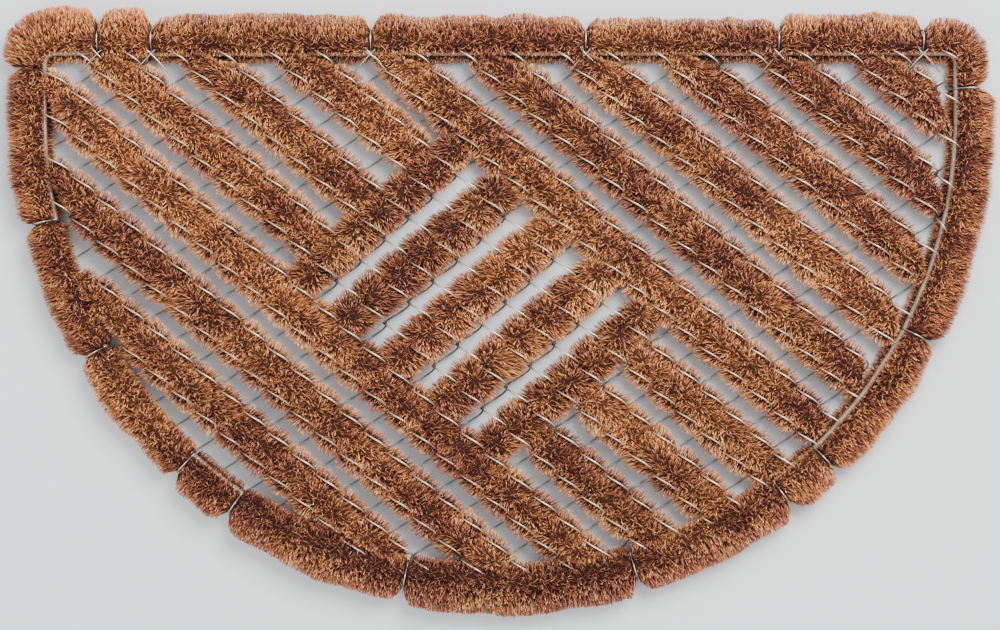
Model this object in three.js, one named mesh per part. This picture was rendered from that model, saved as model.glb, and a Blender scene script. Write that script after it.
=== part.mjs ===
// Half round brush doormat. A bent steel rod is its frame. Coiled wires, hooked into each
// other and round the rod, make a net. Rolls of coir bristle are threaded through every
// second diagonal row of the net, and lengths of coir brush are tied round the rod.
// Millimetres, +Z up. +Y is the straight back edge, and z = 0 is the floor it lies on.

import * as THREE from "three";

// The mat is as thick as a brush roll, and the net and the rod lie in its middle.
const THICK = 30;
const MIDDLE = THICK / 2;

// The rod: a straight back run, two short straight sides and a round edge on one arc.
const ROD = {
  radius: 1.7,
  facets: 5,
  backY: 197.6,
  arcX: 0.8,
  arcY: 148.2,
  arcRadius: 348,
  arcStep: 5,
  corner: 8,
  buttGap: 0.4,
};

// The net. Lines of nodes run from the back edge to the rim, a column apart, and rows of
// nodes lie a row apart. A wire winds between two lines, over to the right and back below.
const NET = {
  wire: 0.8,
  facets: 3,
  column: 18.354,
  row: 16.264,
  lean: 0.228,
  lineX: -328.7,
  rowY: 202.92,
  rise: 8.5,
  bendX: 1,
  bendY: 1.3,
  hook: 5.3,
  bendRoom: 4.4,
  endRoom: 2.6,
};
const NET_GROUPS = [
  { name: "net_1", first: -1, last: 8 },
  { name: "net_2", first: 9, last: 18 },
  { name: "net_3", first: 19, last: 28 },
  { name: "net_4", first: 29, last: 36 },
];
const OUTER_WIRES = { left: -1, right: 36 };

// Sections of a roll. Strands run along it on one face, in the groove beside each shoulder,
// and other strands cross its other face and press it. belly, shoulder, face and foot are
// half widths, and high and pressed are the heights of the two faces over its middle. It is
// full in the middle of each mesh, and drawn in between two nodes, where a strand crosses.
const ROLL = {
  puff: { belly: 17, shoulder: 10.7, face: 8.5, foot: 12, high: 15, pressed: 15 },
  nip: { belly: 8.8, shoulder: 8.2, face: 7, foot: 7, high: 14.6, pressed: 6.3 },
  end: { belly: 9, shoulder: 8.2, face: 7, foot: 7, high: 13.5, pressed: 6.3 },
  bellyHigh: 3,
  shoulderHigh: 7,
  stop: 17.4,
  rodRoom: 4.2,
  stepRoom: 4,
  uneven: 0.05,
};

// Rolls that run down to the right keep column minus row constant, which is their line.
// from and to are the rim, or the line of a roll across them where they stop.
const DOWN_ROLLS = [
  { line: -11, from: "rim", to: "rim" },
  { line: -7, from: "rim", to: "rim" },
  { line: -3, from: "rim", to: "rim" },
  { line: 1, from: "rim", to: 21 },
  { line: 5, from: "rim", to: 21 },
  { line: 9, from: "rim", to: 21 },
  { line: 1, from: 37, to: "rim" },
  { line: 5, from: 37, to: "rim" },
  { line: 9, from: 37, to: "rim" },
  { line: 13, from: "rim", to: "rim" },
  { line: 17, from: "rim", to: "rim" },
  { line: 21, from: "rim", to: "rim" },
  { line: 25, from: "rim", to: "rim" },
  { line: 29, from: "rim", to: "rim" },
  { line: 33, from: "rim", to: "rim" },
];
// Rolls that run up to the right keep column plus row constant.
const UP_ROLLS = [
  { line: 21, from: -3, to: 13 },
  { line: 25, from: -3, to: 13 },
  { line: 29, from: -3, to: 13 },
  { line: 33, from: -3, to: 13 },
  { line: 37, from: -3, to: 13 },
];

// The rim brush is tied on in lengths. Each row is the notch where a length starts, going
// clockwise as seen from above: the side it is on, its x, y or angle there, how far the
// bristles reach past the rod, and whether a wire ties the notch.
const NOTCHES = [
  { side: "back", at: -306, reach: 32, tied: true },
  { side: "back", at: -265, reach: 28, tied: true },
  { side: "back", at: -97.7, reach: 28, tied: true },
  { side: "back", at: 66, reach: 24.5, tied: true },
  { side: "back", at: 213, reach: 29, tied: true },
  { side: "back", at: 323, reach: 26, tied: true },
  { side: "right", at: 170.6, reach: 26.5, tied: true },
  { side: "round", at: 27.6, reach: 28.5, tied: true },
  { side: "round", at: 46.4, reach: 29.5, tied: true },
  { side: "round", at: 53.1, reach: 30, tied: true },
  { side: "round", at: 73.4, reach: 31, tied: true },
  { side: "round", at: 101.7, reach: 31, tied: true },
  { side: "round", at: 124.5, reach: 28.5, tied: true },
  { side: "round", at: 132.3, reach: 28.5, tied: true },
  { side: "round", at: 149.9, reach: 28, tied: true },
  { side: "round", at: 167.1, reach: 28, tied: true },
  { side: "left", at: 186, reach: 33.5, tied: false },
];
const RIM = {
  inner: 6.7,
  foot: 5,
  shoulderIn: 9,
  shoulderOut: 10,
  high: 29,
  shoulderHigh: 24,
  bellyHigh: 9,
  browIn: 2,
  browHigh: 21,
  notchGap: 1.15,
  notchLength: 7,
  notchDrawn: 5,
  notchLow: 4,
  step: 26,
  lump: 1.2,
};

// A tie wire's loop in a notch, as distance past the rod and height over the middle plane.
const TIE = {
  radius: 0.7,
  facets: 3,
  loop: [
    { out: -2.9, up: -2.4 },
    { out: -2.9, up: 2.4 },
    { out: 1.5, up: 4.2 },
    { out: 9, up: 11.5 },
    { out: 20, up: 11.2 },
    { out: 25.4, up: 4 },
    { out: 25.4, up: -8 },
    { out: 20, up: -13.6 },
    { out: 9, up: -13.6 },
    { out: 1.5, up: -4.6 },
  ],
};

const COIR = new THREE.MeshStandardMaterial({ color: 0xa5704a, roughness: 0.95, metalness: 0 });
const RIM_COIR = new THREE.MeshStandardMaterial({ color: 0xb07a52, roughness: 0.95, metalness: 0 });
const WIRE = new THREE.MeshStandardMaterial({ color: 0xc9c6bd, roughness: 0.4, metalness: 0.9 });
const RUSTY = new THREE.MeshStandardMaterial({ color: 0x6b5a4e, roughness: 0.8, metalness: 0.5 });

const RIGHT_X = ROD.arcX + ROD.arcRadius;
const LEFT_X = ROD.arcX - ROD.arcRadius;

// A path through given stations, which stay where they are. At each one the tube faces the
// mean of the two directions that meet there.
class StationCurve extends THREE.Curve {
  constructor(stations) {
    super();
    this.stations = stations;
  }

  getPoint(t, target = new THREE.Vector3()) {
    const last = this.stations.length - 1;
    const index = Math.min(Math.floor(t * last), last - 1);
    return target.lerpVectors(this.stations[index], this.stations[index + 1], t * last - index);
  }

  getPointAt(t, target) {
    return this.getPoint(t, target);
  }

  getTangentAt(t, target = new THREE.Vector3()) {
    const last = this.stations.length - 1;
    const index = Math.round(t * last);
    const into = this.direction(Math.max(index - 1, 0));
    const outOf = this.direction(Math.min(index, last - 1));
    return target.copy(into).add(outOf).normalize();
  }

  direction(index) {
    return this.stations[index + 1].clone().sub(this.stations[index]).normalize();
  }
}

// A solid tube with closed ends along stations.
function tube(stations, radius, facets) {
  const corners = [];
  for (let k = 0; k < facets; k += 1) {
    const angle = (2 * Math.PI * k) / facets;
    corners.push(new THREE.Vector2(radius * Math.cos(angle), radius * Math.sin(angle)));
  }
  return new THREE.ExtrudeGeometry(new THREE.Shape(corners), {
    steps: stations.length - 1,
    bevelEnabled: false,
    extrudePath: new StationCurve(stations),
  });
}

// A closed solid through rings of equally many points, with a flat fan at each end.
function loft(rings) {
  const count = rings[0].length;
  const faces = [];
  for (let i = 0; i < rings.length - 1; i += 1) {
    for (let k = 0; k < count; k += 1) {
      const next = (k + 1) % count;
      const [a, b] = [i * count + k, i * count + next];
      faces.push(a, b, b + count, a, b + count, a + count);
    }
  }
  const lastRing = (rings.length - 1) * count;
  for (let k = 1; k < count - 1; k += 1) {
    faces.push(0, k + 1, k, lastRing, lastRing + k, lastRing + k + 1);
  }
  const geometry = new THREE.BufferGeometry().setFromPoints(rings.flat());
  geometry.setIndex(volume(geometry, faces) < 0 ? faces.reverse() : faces);
  geometry.computeVertexNormals();
  return geometry;
}

// Six times the volume that faces enclose, negative if they face inwards.
function volume(geometry, faces) {
  const at = geometry.getAttribute("position");
  const corner = (index) => new THREE.Vector3().fromBufferAttribute(at, faces[index]);
  let sum = 0;
  for (let i = 0; i < faces.length; i += 3) {
    sum += corner(i).dot(corner(i + 1).cross(corner(i + 2)));
  }
  return sum;
}

// A number from 0 to 1 that looks irregular but is the same for the same index.
const UNEVEN = { turn: 12.99, start: 4.1 };

function uneven(index) {
  return (1 + Math.sin(index * UNEVEN.turn + UNEVEN.start)) / 2;
}

// Places of the net: the node of a line and a row, both of which may be fractions.
function node(line, row) {
  return new THREE.Vector3(
    NET.lineX + NET.column * line + NET.lean * row,
    NET.rowY - NET.row * row,
    MIDDLE,
  );
}

// Whether a point lies at least inset inside the rod's centre line.
function insideRod(point, inset) {
  const [x, y] = [point.x - ROD.arcX, point.y - ROD.arcY];
  const across = y > 0 ? Math.abs(x) : Math.hypot(x, y);
  return across <= ROD.arcRadius - inset && point.y <= ROD.backY - inset;
}

// How far a line from inside the mat runs before it is closer than inset to the rod, found
// by halving the stretch that holds the answer.
const HALVINGS = 40;

function distanceToRod(start, direction, inset) {
  let near = 0;
  let far = 3 * ROD.arcRadius;
  for (let i = 0; i < HALVINGS; i += 1) {
    const middle = (near + far) / 2;
    if (insideRod(start.clone().addScaledVector(direction, middle), inset)) near = middle;
    else far = middle;
  }
  return near;
}

// The x of a point at the height of y that lies past the rod on one side by the hook's size.
function hookX(y, side) {
  const below = Math.min(y - ROD.arcY, 0);
  return ROD.arcX + side * Math.sqrt((ROD.arcRadius + NET.hook) ** 2 - below ** 2);
}

// A wire from the back edge down to the rim, without the hook it starts from. A left bend
// rises and a right bend falls. An outer wire winds round the side of the rod.
function wireStations(wire) {
  const stations = [];
  let previous = node(wire % 2 === 0 ? wire : wire + 1, 0);
  for (let row = 1; ; row += 1) {
    const left = (row - wire) % 2 === 0;
    const side = left ? -1 : 1;
    const place = node(left ? wire : wire + 1, row);
    const into = place.clone().add(new THREE.Vector3(side * NET.bendX, NET.bendY, side * NET.rise));
    const outOf = place.clone().add(new THREE.Vector3(side * NET.bendX, -NET.bendY, -side * NET.rise));
    if (!insideRod(place, NET.bendRoom)) {
      if (wire !== (left ? OUTER_WIRES.left : OUTER_WIRES.right)) {
        stations.push(pastRod(previous, into));
        return stations;
      }
      into.setX(hookX(into.y, side));
      outOf.setX(hookX(outOf.y, side));
      stations.push(into, outOf);
      if (!insideRod(node(left ? wire + 1 : wire, row + 1), NET.bendRoom)) return stations;
    } else stations.push(into, outOf);
    previous = outOf;
  }
}

// Where a strand from one place through another ends, just outside the rod.
function pastRod(from, through) {
  const start = from.clone().setZ(through.z);
  const direction = through.clone().sub(start).normalize();
  return start.addScaledVector(direction, distanceToRod(start, direction, -NET.hook));
}

// Neighbouring wires share a hook round the back run of the rod, and at the round edge one
// wire runs on along the rod to become the next, so a group of wires is a single long wire.
function netStations(group) {
  const stations = [];
  for (let wire = group.first; wire < group.last; wire += 2) {
    const up = wireStations(wire).reverse();
    const down = wireStations(wire + 1);
    const hook = node(wire + 1, 0);
    stations.push(...up);
    stations.push(hook.clone().setZ(MIDDLE - NET.rise), hook.clone().setZ(MIDDLE + NET.rise));
    stations.push(...down);
  }
  if (group.first !== OUTER_WIRES.left) {
    const toEnd = stations[1].clone().sub(stations[0]).normalize();
    stations[0].addScaledVector(toEnd, NET.endRoom);
  }
  return stations;
}

// One ring of a roll. across is the direction of the strands that cross it, and pressedUp
// says whether those strands lie on top of the roll or under it.
function rollRing(centre, across, section, pressedUp) {
  const outline = [
    { side: section.foot, up: -section.pressed },
    { side: section.belly, up: ROLL.bellyHigh },
    { side: section.shoulder, up: ROLL.shoulderHigh },
    { side: section.face, up: section.high },
    { side: -section.face, up: section.high },
    { side: -section.shoulder, up: ROLL.shoulderHigh },
    { side: -section.belly, up: ROLL.bellyHigh },
    { side: -section.foot, up: -section.pressed },
  ];
  return outline.map(({ side, up }) => {
    const place = centre(side).addScaledVector(across, side);
    return place.setZ(MIDDLE + (pressedUp ? -up : up));
  });
}

// A roll is lofted through a puff in each mesh and a nip between meshes. family gives its
// steps along and across the net, and the lines of rolls where it may stop.
function rollGeometry(roll, family) {
  const perStep = family.step.length();
  const along = family.step.clone().normalize();
  const across = family.across.clone().normalize();
  const centre = (count) => family.place(roll.line, count);
  const halves = HALF_STEPS.filter((count) => insideRod(centre(count), ROLL.puff.belly));
  const reference = halves[Math.floor(halves.length / 2)];
  const endAt = (limit, direction, side) => {
    if (limit !== "rim") return stopCount(roll.line, limit, direction, perStep);
    const start = centre(reference).addScaledVector(across, side);
    const way = along.clone().multiplyScalar(direction);
    return reference + (direction * distanceToRod(start, way, ROLL.rodRoom)) / perStep;
  };
  const fits = (count) =>
    [-ROLL.puff.belly, ROLL.puff.belly].every(
      (side) =>
        (count - endAt(roll.from, -1, side)) * perStep > ROLL.stepRoom &&
        (endAt(roll.to, 1, side) - count) * perStep > ROLL.stepRoom,
    );
  const endRing = (limit, direction) =>
    rollRing((side) => centre(endAt(limit, direction, side)), across, ROLL.end, family.pressedUp);
  const counts = halves.filter(fits);
  if (farEnd(endAt, roll.from, -1, counts[0])) counts.shift();
  if (farEnd(endAt, roll.to, 1, counts.at(-1))) counts.pop();
  const rings = [endRing(roll.from, -1)];
  for (const count of counts) {
    const section = Number.isInteger(count) ? lumpy(ROLL.puff, count + 7 * roll.line) : ROLL.nip;
    rings.push(rollRing(() => centre(count), across, section, family.pressedUp));
  }
  rings.push(endRing(roll.to, 1));
  return loft(rings);
}

// Whether a puff is the last before an end that lies past the next nip on either side. The
// roll then tapers from the nip before that puff, so that it keeps clear of the strands.
function farEnd(endAt, limit, direction, count) {
  const reach = [-ROLL.end.belly, ROLL.end.belly].map((side) =>
    Math.abs(endAt(limit, direction, side) - count),
  );
  return Number.isInteger(count) && Math.max(...reach) > 0.5;
}

// Where a roll stops at the flank of the one across it, in steps along its own line.
function stopCount(line, limit, direction, perStep) {
  return (limit - line) / 2 - (direction * ROLL.stop) / perStep;
}

// A puff a little slimmer than the full one, by an uneven share.
function lumpy(section, index) {
  const share = 1 - ROLL.uneven * uneven(index);
  return { ...section, belly: section.belly * share, face: section.face * share };
}

// Rolls down to the right count their steps in rows from the back edge, and strands press
// them from below. Rolls up to the right count them in rows towards the back edge, and
// strands press them from above.
const MOST_STEPS = 30;
const HALF_STEPS = Array.from({ length: 4 * MOST_STEPS }, (_, index) => index / 2 - MOST_STEPS);
const DOWN = {
  pressedUp: false,
  step: node(1, 1).sub(node(0, 0)),
  across: node(1, -1).sub(node(0, 0)),
  place: (line, count) => node(line + count, count),
};
const UP = {
  pressedUp: true,
  step: node(1, -1).sub(node(0, 0)),
  across: node(1, 1).sub(node(0, 0)),
  place: (line, count) => node(line + count, -count),
};

// The rod's centre line, clockwise from the left end of the back run: a place and the
// direction away from the mat, at a distance along it.
const RUN = {
  back: RIGHT_X - LEFT_X - 2 * ROD.corner,
  corner: (ROD.corner * Math.PI) / 2,
  side: ROD.backY - ROD.corner - ROD.arcY,
  round: ROD.arcRadius * Math.PI,
};
RUN.rightStart = RUN.back + RUN.corner;
RUN.roundStart = RUN.rightStart + RUN.side;
RUN.leftStart = RUN.roundStart + RUN.round;
RUN.lastCorner = RUN.leftStart + RUN.side;
RUN.whole = RUN.lastCorner + RUN.corner;

function onArc(x, y, radius, angle) {
  const out = new THREE.Vector3(Math.cos(angle), Math.sin(angle), 0);
  return { place: new THREE.Vector3(x, y, MIDDLE).addScaledVector(out, radius), out };
}

function onLine(x, y, outX, outY) {
  return { place: new THREE.Vector3(x, y, MIDDLE), out: new THREE.Vector3(outX, outY, 0) };
}

function alongRod(distance) {
  const s = ((distance % RUN.whole) + RUN.whole) % RUN.whole;
  const cornerY = ROD.backY - ROD.corner;
  if (s < RUN.back) return onLine(LEFT_X + ROD.corner + s, ROD.backY, 0, 1);
  if (s < RUN.rightStart) {
    const angle = Math.PI / 2 - (s - RUN.back) / ROD.corner;
    return onArc(RIGHT_X - ROD.corner, cornerY, ROD.corner, angle);
  }
  if (s < RUN.roundStart) return onLine(RIGHT_X, cornerY - (s - RUN.rightStart), 1, 0);
  if (s < RUN.leftStart) {
    return onArc(ROD.arcX, ROD.arcY, ROD.arcRadius, -(s - RUN.roundStart) / ROD.arcRadius);
  }
  if (s < RUN.lastCorner) return onLine(LEFT_X, ROD.arcY + (s - RUN.leftStart), -1, 0);
  return onArc(LEFT_X + ROD.corner, cornerY, ROD.corner, Math.PI - (s - RUN.lastCorner) / ROD.corner);
}

// The distance along the rod of a notch, from the side it is on.
function notchDistance({ side, at }) {
  if (side === "back") return at - LEFT_X - ROD.corner;
  if (side === "right") return RUN.rightStart + ROD.backY - ROD.corner - at;
  if (side === "left") return RUN.leftStart + at - ROD.arcY;
  return RUN.roundStart + THREE.MathUtils.degToRad(at) * ROD.arcRadius;
}

// The stops of a corner that starts at a distance along the rod.
function cornerStops(start) {
  return [0, 1 / 3, 2 / 3, 1].map((part) => start + part * RUN.corner);
}

// The rod turns at its corners and along the round edge. Its two ends butt on the back run.
function rodStations() {
  const turns = cornerStops(RUN.back);
  for (let angle = 0; angle <= 180; angle += ROD.arcStep) {
    turns.push(RUN.roundStart + THREE.MathUtils.degToRad(angle) * ROD.arcRadius);
  }
  turns.push(...cornerStops(RUN.lastCorner));
  const butt = RUN.back / 2;
  const ends = [butt + ROD.buttGap, butt + RUN.whole];
  return [ends[0], ...turns, ends[1]].map((s) => alongRod(s).place);
}

// A ring of the rim brush, seen along the rod. drawn is how far its bristles are pulled in
// at a notch, from 0 to 1.
function rimRing(distance, reach, drawn) {
  const { place, out } = alongRod(distance);
  const tip = reach - RIM.notchDrawn * drawn;
  const high = RIM.high - RIM.notchLow * drawn;
  const outline = [
    { past: RIM.inner, z: 0 },
    { past: tip - RIM.foot, z: 0 },
    { past: tip, z: RIM.bellyHigh },
    { past: tip - RIM.browIn, z: RIM.browHigh - RIM.notchLow * drawn },
    { past: tip - RIM.shoulderOut, z: high },
    { past: RIM.shoulderIn, z: high },
    { past: RIM.inner, z: RIM.shoulderHigh },
  ];
  return outline.map(({ past, z }) => place.clone().addScaledVector(out, past).setZ(z));
}

// A length of rim brush between two notches, full between them and drawn in at both ends.
function rimGeometry(from, to, reach) {
  const start = from + RIM.notchGap;
  const end = to - RIM.notchGap;
  const inner = end - start - 2 * RIM.notchLength;
  const steps = Math.max(1, Math.round(inner / RIM.step));
  const rings = [rimRing(start, reach, 1)];
  for (const s of rimStops(start + RIM.notchLength, end - RIM.notchLength, steps)) {
    rings.push(rimRing(s, reach + RIM.lump * (2 * uneven(s) - 1), 0));
  }
  rings.push(rimRing(end, reach, 1));
  return loft(rings);
}

// Even stops from start to end, and those of a corner where it lies between them.
function rimStops(start, end, steps) {
  const stops = [];
  for (let i = 0; i <= steps; i += 1) stops.push(start + ((end - start) * i) / steps);
  for (const corner of [RUN.back, RUN.lastCorner]) {
    if (start > corner + RUN.corner || end < corner) continue;
    const [from, to] = [corner - RIM.foot, corner + RUN.corner + RIM.foot];
    const clear = stops.filter((s) => s === start || s < from || s > to);
    const turn = cornerStops(corner).filter((s) => s > start + 1 && s < end - 1);
    return [...clear, ...turn].sort((a, b) => a - b);
  }
  return stops;
}

function tieStations(distance) {
  const { place, out } = alongRod(distance);
  return TIE.loop.map((at) => {
    const station = place.clone().addScaledVector(out, at.out);
    return station.setZ(MIDDLE + at.up);
  });
}

// The mat as a scene graph.
const mat = new THREE.Group();

function addPiece(name, geometry, material) {
  const mesh = new THREE.Mesh(geometry, material);
  mesh.name = name;
  mat.add(mesh);
}

addPiece("frame_rod", tube(rodStations(), ROD.radius, ROD.facets), RUSTY);

for (const group of NET_GROUPS) {
  addPiece(group.name, tube(netStations(group), NET.wire, NET.facets), WIRE);
}

DOWN_ROLLS.forEach((roll, index) => {
  addPiece(`roll_down_${index + 1}`, rollGeometry(roll, DOWN), COIR);
});
UP_ROLLS.forEach((roll, index) => {
  addPiece(`roll_up_${index + 1}`, rollGeometry(roll, UP), COIR);
});

NOTCHES.forEach((notch, index) => {
  const from = notchDistance(notch);
  const next = notchDistance(NOTCHES[(index + 1) % NOTCHES.length]);
  const to = next > from ? next : next + RUN.whole;
  addPiece(`rim_${index + 1}`, rimGeometry(from, to, notch.reach), RIM_COIR);
  if (notch.tied) {
    addPiece(`tie_${index + 1}`, tube(tieStations(from), TIE.radius, TIE.facets), WIRE);
  }
});

// The origin is on the floor under the middle of the mat's box.
const middleOfBox = new THREE.Box3().setFromObject(mat).getCenter(new THREE.Vector3());
mat.position.set(-middleOfBox.x, -middleOfBox.y, 0);

export default mat;
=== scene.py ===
# Half round brush doormat: a rusty rod, a net of coiled wires, coir brush rolls and a coir rim.
# Everything is in metres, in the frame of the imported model. +Y is the straight back edge.

import math

import bmesh
import bpy
import numpy as np
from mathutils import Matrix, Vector


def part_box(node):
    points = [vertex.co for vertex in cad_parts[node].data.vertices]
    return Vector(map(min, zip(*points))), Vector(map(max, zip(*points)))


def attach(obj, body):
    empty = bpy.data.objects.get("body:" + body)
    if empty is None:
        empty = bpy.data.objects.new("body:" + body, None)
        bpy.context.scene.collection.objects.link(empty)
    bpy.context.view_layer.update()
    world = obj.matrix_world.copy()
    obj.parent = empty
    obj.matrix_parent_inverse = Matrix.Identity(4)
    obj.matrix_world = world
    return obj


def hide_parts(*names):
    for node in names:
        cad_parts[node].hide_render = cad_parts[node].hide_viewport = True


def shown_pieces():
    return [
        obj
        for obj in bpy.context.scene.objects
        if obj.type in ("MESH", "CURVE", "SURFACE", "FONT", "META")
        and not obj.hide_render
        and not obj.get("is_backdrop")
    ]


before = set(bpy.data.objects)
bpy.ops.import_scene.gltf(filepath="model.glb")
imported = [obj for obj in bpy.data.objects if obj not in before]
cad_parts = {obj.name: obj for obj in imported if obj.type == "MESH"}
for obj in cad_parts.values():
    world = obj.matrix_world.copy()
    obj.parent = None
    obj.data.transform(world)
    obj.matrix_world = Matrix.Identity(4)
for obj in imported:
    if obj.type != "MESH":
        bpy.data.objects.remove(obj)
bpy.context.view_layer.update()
mm = 0.001
print("frame loaded, nodes:", len(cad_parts))


# Small helpers for node trees
class Signal:  # a node's output, used in plain maths
    def __init__(self, nodes, socket):
        self.nodes = nodes
        self.socket = socket

    def maths(self, operation, other=None, swapped=False):
        pair = (other, self) if swapped else (self, other)
        sockets = {i: value for i, value in enumerate(pair) if value is not None}
        return self.nodes.add("ShaderNodeMath", {"operation": operation}, sockets)

    def __add__(self, other):
        return self.maths("ADD", other)

    def __sub__(self, other):
        return self.maths("SUBTRACT", other)

    def __rsub__(self, other):
        return self.maths("SUBTRACT", other, swapped=True)

    def __mul__(self, other):
        return self.maths("MULTIPLY", other)

    def __truediv__(self, other):
        return self.maths("DIVIDE", other)

    def __rtruediv__(self, other):
        return self.maths("DIVIDE", other, swapped=True)

    def __pow__(self, other):
        return self.maths("POWER", other)

    def __rpow__(self, other):
        return self.maths("POWER", other, swapped=True)

    __radd__ = __add__
    __rmul__ = __mul__

    def clamped(self):
        return self.nodes.add("ShaderNodeClamp", {}, {"Value": self})

    def out(self, name):  # another output of the same node
        return Signal(self.nodes, self.socket.node.outputs[name])


class Nodes:  # a node tree with one way to add a node
    def __init__(self, tree):
        self.tree = tree

    def add(self, kind, settings, sockets, output=0):
        node = self.tree.nodes.new(kind)
        for key, value in settings.items():
            if key == "stops":
                self.setStops(node.color_ramp, value)
            else:
                setattr(node, key, value)
        for key, value in sockets.items():
            if isinstance(value, Signal):
                self.tree.links.new(value.socket, node.inputs[key])
            else:
                node.inputs[key].default_value = value
        return Signal(self, node.outputs[output]) if len(node.outputs) else None

    def setStops(self, ramp, stops):
        while len(ramp.elements) < len(stops):
            ramp.elements.new(0.5)
        for element, (position, colour) in zip(ramp.elements, stops):
            element.position = position
            element.color = (*colour, 1)


def geometryTree(name, inputs):  # a Geometry Nodes tree with named inputs
    tree = bpy.data.node_groups.new(name, "GeometryNodeTree")
    tree.interface.new_socket("Geometry", in_out="INPUT", socket_type="NodeSocketGeometry")
    tree.interface.new_socket("Geometry", in_out="OUTPUT", socket_type="NodeSocketGeometry")
    for title, kind in inputs.items():
        tree.interface.new_socket(title, in_out="INPUT", socket_type="NodeSocket" + kind)
    nodes = Nodes(tree)
    return nodes, nodes.add("NodeGroupInput", {}, {})


def applyTree(piece, tree, values):  # runs a tree on a piece and keeps the result as its mesh
    modifier = piece.modifiers.new(tree.name, "NODES")
    modifier.node_group = tree
    for item in tree.interface.items_tree:
        if item.in_out == "INPUT" and item.name in values:
            modifier[item.identifier] = values[item.name]
    bpy.context.view_layer.update()
    ready = piece.evaluated_get(bpy.context.evaluated_depsgraph_get())
    mesh = bpy.data.meshes.new_from_object(ready)
    piece.modifiers.remove(modifier)
    old = piece.data
    piece.data = mesh
    bpy.data.meshes.remove(old)
    mesh.name = piece.name
    return piece


def newPiece(name, vertices, edges, faces):
    mesh = bpy.data.meshes.new(name)
    mesh.from_pydata(vertices, edges, faces)
    mesh.update()
    piece = bpy.data.objects.new(name, mesh)
    bpy.context.scene.collection.objects.link(piece)
    return piece


def hold(piece, nodeNames):
    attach(piece, "root")
    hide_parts(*nodeNames)


# The rod, the net's lattice and where they lie
rod = {
    "radius": 2.05 * mm,
    "solidRadius": 1.7 * mm,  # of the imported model's rod
    "backY": 197.6 * mm,
    "arcX": 0.8 * mm,
    "arcY": 148.2 * mm,
    "arcRadius": 348 * mm,
    "corner": 8 * mm,
    "middle": 15 * mm,
    "butt": 0.4 * mm,
    "cornerSteps": 5,
    "arcSteps": 120,
    "facets": 12,
    "halvings": 24,
}
rodLow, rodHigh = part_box("frame_rod")
shiftX = (rodLow.x + rodHigh.x) / 2 - rod["arcX"]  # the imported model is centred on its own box
shiftY = rodHigh.y - (rod["backY"] + rod["solidRadius"])
net = {
    "column": 18.354 * mm,
    "row": 16.264 * mm,
    "lean": 0.228 * mm,
    "lineX": -328.7 * mm,
    "rowY": 202.92 * mm,
    "rise": 8.5 * mm,
    "bendX": 1.0 * mm,
    "hook": 5.3 * mm,
    "bendRoom": 4.4 * mm,
    "radius": 0.76 * mm,
    "facets": 5,
    # shares of the way along a strand, and how much it rounds, bows and bulges there
    "samples": [0, 0.05, 0.13, 0.26, 0.42, 0.58, 0.74, 0.87, 0.95],
    "round": 0.45,
    "bow": 0.6,
    "bulge": 0.62,
    # node, first wire and last wire, then the side on which the outermost wires hook the rod
    "groups": [("net_1", -1, 8), ("net_2", 9, 18), ("net_3", 19, 28), ("net_4", 29, 36)],
    "outer": {-1: -1, 36: 1},
}


def place(line, row):  # a node of the net, for a line and a row that may be fractions
    x = net["lineX"] + net["column"] * line + net["lean"] * row
    return np.array([x, net["rowY"] - net["row"] * row, rod["middle"]])


def insideRod(point, inset):
    x, y = point[0] - rod["arcX"], point[1] - rod["arcY"]
    across = abs(x) if y > 0 else math.hypot(x, y)
    return across <= rod["arcRadius"] - inset and point[1] <= rod["backY"] - inset


def distanceToRod(start, direction, inset):  # by halving, to less than a micrometre
    near, far = 0.0, 3 * rod["arcRadius"]
    for _ in range(rod["halvings"]):
        middle = (near + far) / 2
        if insideRod(start + direction * middle, inset):
            near = middle
        else:
            far = middle
    return near


def unit(vector):
    return vector / np.linalg.norm(vector)


def moved(points):  # from the net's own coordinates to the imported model's
    return np.asarray(points) + np.array([shiftX, shiftY, 0])


runBack = 2 * rod["arcRadius"] - 2 * rod["corner"]
runCorner = rod["corner"] * math.pi / 2
runSide = rod["backY"] - rod["corner"] - rod["arcY"]
runRound = rod["arcRadius"] * math.pi
rightStart = runBack + runCorner
roundStart = rightStart + runSide
leftStart = roundStart + runRound
lastCorner = leftStart + runSide
runWhole = lastCorner + runCorner
leftX = rod["arcX"] - rod["arcRadius"]
rightX = rod["arcX"] + rod["arcRadius"]


def alongRod(distance):  # place on the rod's centre line and the way out of the mat
    s = distance % runWhole
    cornerY = rod["backY"] - rod["corner"]
    if s < runBack:
        return np.array([leftX + rod["corner"] + s, rod["backY"], rod["middle"]]), np.array([0.0, 1, 0])
    if s < rightStart:
        turn = math.pi / 2 - (s - runBack) / rod["corner"]
        return onArc(rightX - rod["corner"], cornerY, rod["corner"], turn)
    if s < roundStart:
        return np.array([rightX, cornerY - (s - rightStart), rod["middle"]]), np.array([1.0, 0, 0])
    if s < leftStart:
        return onArc(rod["arcX"], rod["arcY"], rod["arcRadius"], -(s - roundStart) / rod["arcRadius"])
    if s < lastCorner:
        return np.array([leftX, rod["arcY"] + (s - leftStart), rod["middle"]]), np.array([-1.0, 0, 0])
    turn = math.pi - (s - lastCorner) / rod["corner"]
    return onArc(leftX + rod["corner"], cornerY, rod["corner"], turn)


def onArc(x, y, radius, angle):
    out = np.array([math.cos(angle), math.sin(angle), 0])
    return np.array([x, y, rod["middle"]]) + out * radius, out


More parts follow.
